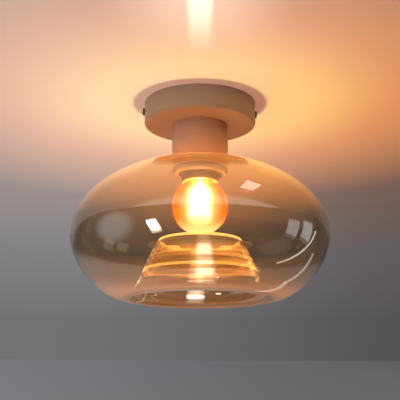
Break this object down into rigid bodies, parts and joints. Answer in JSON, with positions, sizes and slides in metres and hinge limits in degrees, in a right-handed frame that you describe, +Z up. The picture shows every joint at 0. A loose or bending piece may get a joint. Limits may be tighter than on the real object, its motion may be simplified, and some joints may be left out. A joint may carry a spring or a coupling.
{
  "type": "ceiling light",
  "caption": "Ceiling light with a round painted cup and neck, a wide amber glass shade with an open re-entrant mouth, and a screw-in globe lamp.",
  "frame": {"origin": "on the ceiling plane, midway between the two slots of the bracket, on the axis of the cup, neck and shade", "axes": "+Z up into the ceiling, along the light's own axis; X through the two side screws"},
  "size_m": [0.27, 0.27, 0.2136],
  "materials": {
    "taupe_paint": "matt fine powder coat, taupe",
    "amber_glass": "clear blown glass, amber tint with a thin mirror film",
    "globe_glass": "clear amber lamp glass",
    "clear_glass": "clear lamp glass",
    "zinc_steel": "bright zinc plate",
    "dark_screw": "dark bronzed steel",
    "brass": "bright pressed brass",
    "nickel_cap": "bright nickel",
    "solder": "dull solder",
    "black_insulator": "black glass insulator",
    "steatite": "unglazed steatite",
    "holder_plastic": "moulded thermoset, taupe",
    "block_plastic": "natural polyamide",
    "silicone": "translucent silicone",
    "filament": "yellow phosphor coat",
    "brown_lead": "silicone insulation, brown",
    "blue_lead": "silicone insulation, blue",
    "earth_lead": "insulation, green with yellow"
  },
  "bodies": {
    "fitting": {"ceiling_bracket": "zinc_steel", "ceiling_cup": "taupe_paint", "terminal_block": "block_plastic", "clamp_screws": "zinc_steel", "block_screw": "zinc_steel", "earth_screw": "brass", "earth_tag": "brass", "lock_washer": "zinc_steel", "nipple_nut": "zinc_steel", "threaded_nipple": "zinc_steel", "neck_cup": "taupe_paint", "holder_cap": "holder_plastic", "holder_body": "holder_plastic", "holder_insert": "steatite", "holder_terminals": "brass", "holder_shell": "brass", "centre_contact": "brass", "upper_gasket": "silicone", "live_lead": "brown_lead", "neutral_lead": "blue_lead", "earth_lead": "earth_lead"},
    "side_screw_left": {"side_screw_left": "dark_screw"},
    "side_screw_right": {"side_screw_right": "dark_screw"},
    "shade": {"glass_shade": "amber_glass", "lower_gasket": "silicone"},
    "shade_ring": {"shade_ring": "taupe_paint"},
    "bulb_tip": {"bulb_tip_contact": "solder"},
    "bulb": {"bulb_globe": "globe_glass", "bulb_cap": "nickel_cap", "bulb_insulator": "black_insulator", "bulb_stem": "clear_glass", "filaments": "filament", "filament_frame": "zinc_steel"}
  },
  "joints": [
    {"name": "side_screw_left_out", "type": "slide", "parent": "fitting", "child": "side_screw_left", "axis": [-1, 0, 0], "range_m": [0, 0.009]},
    {"name": "side_screw_right_out", "type": "slide", "parent": "fitting", "child": "side_screw_right", "axis": [1, 0, 0], "range_m": [0, 0.009]},
    {"name": "shade_lower", "type": "slide", "parent": "fitting", "child": "shade", "axis": [0, 0, -1], "range_m": [0, 0.0075]},
    {"name": "ring_turn", "type": "hinge", "parent": "shade", "child": "shade_ring", "pos_m": [0, 0, -0.074], "axis": [0, 0, -1], "range_deg": [0, 1080]},
    {"name": "bulb_lower", "type": "slide", "parent": "fitting", "child": "bulb_tip", "axis": [0, 0, -1], "range_m": [0, 0.01815]},
    {"name": "bulb_turn", "type": "hinge", "parent": "bulb_tip", "child": "bulb", "pos_m": [0, 0, -0.0663], "axis": [0, 0, -1], "range_deg": [0, 1800]}
  ],
  "couplings": [
    {"joint": "ring_turn", "follows": "shade_lower", "rad_per_m": 2513.3},
    {"joint": "bulb_turn", "follows": "bulb_lower", "rad_per_m": 1731.4}
  ]
}
